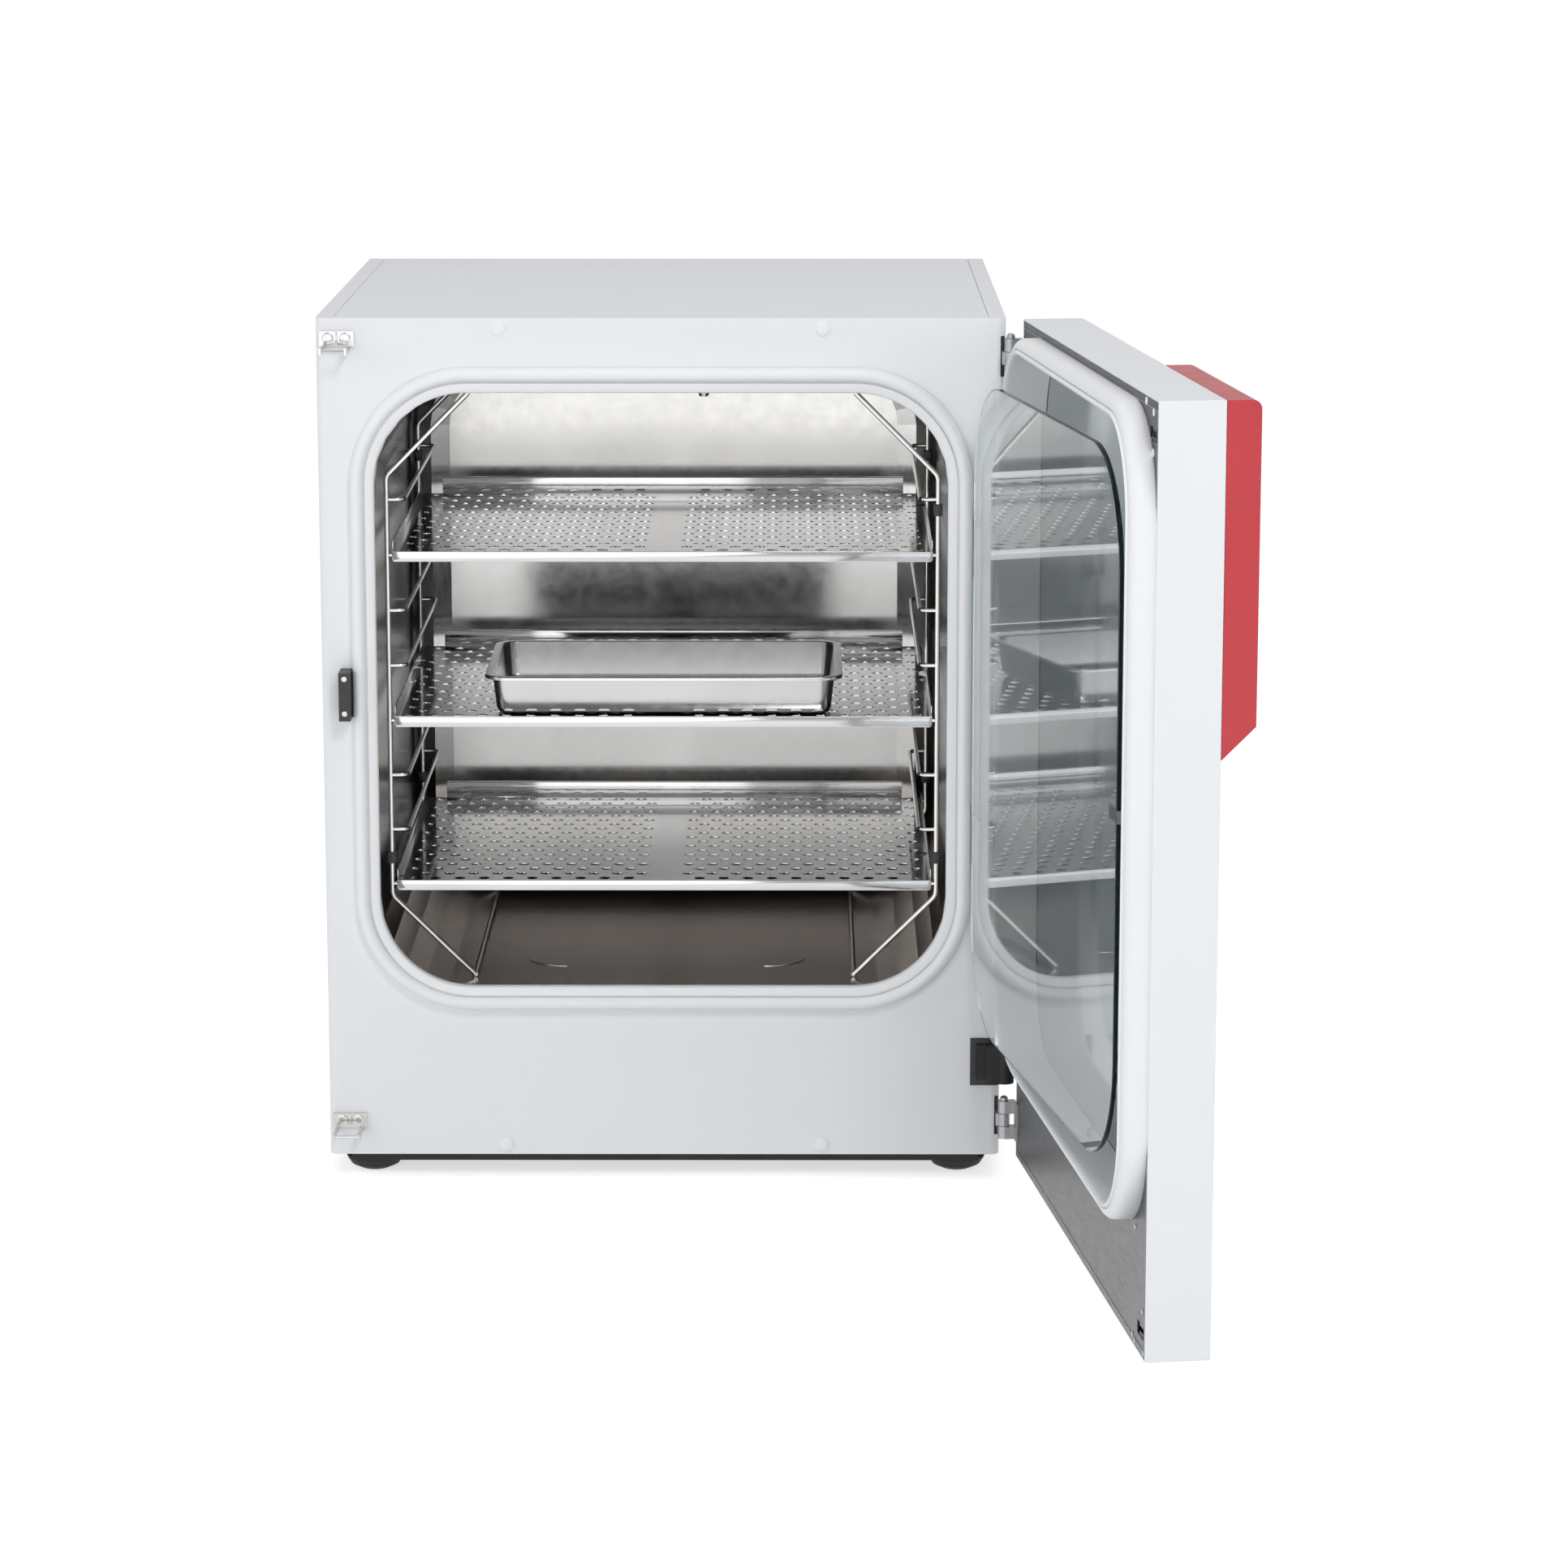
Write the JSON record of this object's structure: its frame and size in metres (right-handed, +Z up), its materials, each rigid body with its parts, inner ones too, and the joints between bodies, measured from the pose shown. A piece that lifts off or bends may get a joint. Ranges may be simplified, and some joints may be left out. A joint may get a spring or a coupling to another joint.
{
  "type": "bench incubator",
  "caption": "Free-standing bench incubator: drawn steel chamber with wire racks and perforated shelves behind an inner glass door and a deep outer door with a control console.",
  "frame": {"origin": "centre of the base tray's flat underside", "axes": "+Z up, -Y out of the chamber's front opening, +X towards the doors' hinges"},
  "size_m": [0.869, 1.3352, 0.8781],
  "materials": {
    "white_paint": "smooth white powder coat, faintly cool",
    "black_paint": "matt black powder coat",
    "black_plastic": "fine matt",
    "black_rubber": "matt",
    "stainless_steel": "bright drawn and brushed",
    "bright_plating": "bright",
    "white_silicone": "smooth, slightly glossy",
    "mineral_wool": "fibrous board",
    "red_lacquer": "satin red",
    "zinc_sheet": "grey, satin",
    "clear_glass": "clear tempered, green at the edge",
    "circuit_board": "solder mask",
    "screen_glass": "glossy black",
    "aluminium_sheet": "mill"
  },
  "bodies": {
    "cabinet": {"left_side_panel": "white_paint", "right_side_panel": "white_paint", "top_panel": "white_paint", "back_panel": "white_paint", "front_frame": "white_paint", "base_tray": "black_paint", "foot_front_left": "black_rubber", "foot_front_right": "black_rubber", "foot_rear_left": "black_rubber", "foot_rear_right": "black_rubber", "inner_chamber": "stainless_steel", "chamber_seal": "white_silicone", "insulation_left": "mineral_wool", "insulation_right": "mineral_wool", "insulation_top": "mineral_wool", "insulation_bottom": "mineral_wool", "insulation_rear": "mineral_wool", "temperature_probe": "stainless_steel", "heater_plate": "aluminium_sheet", "left_rack": "stainless_steel", "right_rack": "stainless_steel", "cable_port_frame": "black_plastic", "cable_boot": "black_rubber", "upper_striker": "bright_plating", "lower_striker": "bright_plating", "glass_door_catch": "black_plastic", "upper_hinge_cabinet_leaf": "zinc_sheet", "lower_hinge_cabinet_leaf": "zinc_sheet", "upper_glass_hinge_bracket": "white_paint", "lower_glass_hinge_bracket": "white_paint", "mains_inlet": "black_plastic", "switch_body": "black_plastic", "control_board": "circuit_board"},
    "outer_door": {"door_shell": "white_paint", "door_inner_panel": "zinc_sheet", "door_ring": "white_silicone", "door_mirror_panel": "stainless_steel", "door_insulation": "mineral_wool", "console_housing": "red_lacquer", "touch_screen": "screen_glass", "badge_plate": "bright_plating", "upper_hinge_door_leaf": "zinc_sheet", "lower_hinge_door_leaf": "zinc_sheet", "upper_hinge_pin": "zinc_sheet", "lower_hinge_pin": "zinc_sheet"},
    "handle": {"door_handle": "black_plastic"},
    "upper_claw": {"upper_latch_claw": "bright_plating"},
    "lower_claw": {"lower_latch_claw": "bright_plating"},
    "glass_door": {"glass_pane": "clear_glass", "upper_glass_hinge_fitting": "white_paint", "lower_glass_hinge_fitting": "white_paint", "glass_latch_clamp": "bright_plating"},
    "glass_latch": {"glass_latch_lever": "black_plastic"},
    "top_shelf": {"shelf_top": "stainless_steel"},
    "middle_shelf": {"shelf_middle": "stainless_steel", "water_pan": "stainless_steel"},
    "bottom_shelf": {"shelf_bottom": "stainless_steel"},
    "mains_switch": {"switch_rocker": "black_plastic"}
  },
  "joints": [
    {"name": "glass_door_hinge", "type": "hinge", "parent": "cabinet", "child": "glass_door", "pos_m": [0.313, -0.3406, 0.4855], "axis": [0, 0, 1], "range_deg": [-100.1, 30]},
    {"name": "outer_door_hinge", "type": "hinge", "parent": "cabinet", "child": "outer_door", "pos_m": [0.3441, -0.3342, 0.4405], "axis": [0, 0, 1], "range_deg": [-97.2, 29.2]},
    {"name": "handle_pull", "type": "hinge", "parent": "outer_door", "child": "handle", "pos_m": [0.50841, -0.86859, 0.636], "axis": [0.1236, -0.9923, 0], "range_deg": [0, 22]},
    {"name": "upper_claw_turn", "type": "hinge", "parent": "outer_door", "child": "upper_claw", "pos_m": [0.44679, -0.99039, 0.8345], "axis": [-0.1236, 0.9923, 0], "range_deg": [-70, 0]},
    {"name": "lower_claw_turn", "type": "hinge", "parent": "outer_door", "child": "lower_claw", "pos_m": [0.44679, -0.99039, 0.04], "axis": [-0.1236, 0.9923, 0], "range_deg": [-70, 0]},
    {"name": "glass_latch_turn", "type": "hinge", "parent": "glass_door", "child": "glass_latch", "pos_m": [0.42625, -0.92276, 0.49], "axis": [0.9845, 0.1754, 0], "range_deg": [-90, 0]},
    {"name": "top_shelf_slide", "type": "slide", "parent": "cabinet", "child": "top_shelf", "axis": [0, -1, 0], "range_m": [0, 0.3]},
    {"name": "middle_shelf_slide", "type": "slide", "parent": "cabinet", "child": "middle_shelf", "axis": [0, -1, 0], "range_m": [0, 0.3]},
    {"name": "bottom_shelf_slide", "type": "slide", "parent": "cabinet", "child": "bottom_shelf", "axis": [0, -1, 0], "range_m": [0, 0.3]},
    {"name": "mains_switch_rock", "type": "hinge", "parent": "cabinet", "child": "mains_switch", "pos_m": [0.26, 0.315, 0.133], "axis": [1, 0, 0], "range_deg": [-6, 6]}
  ],
  "couplings": [
    {"joint": "outer_door_hinge", "follows": "glass_door_hinge", "ratio": 0.97003},
    {"joint": "lower_claw_turn", "follows": "upper_claw_turn", "ratio": 1}
  ]
}
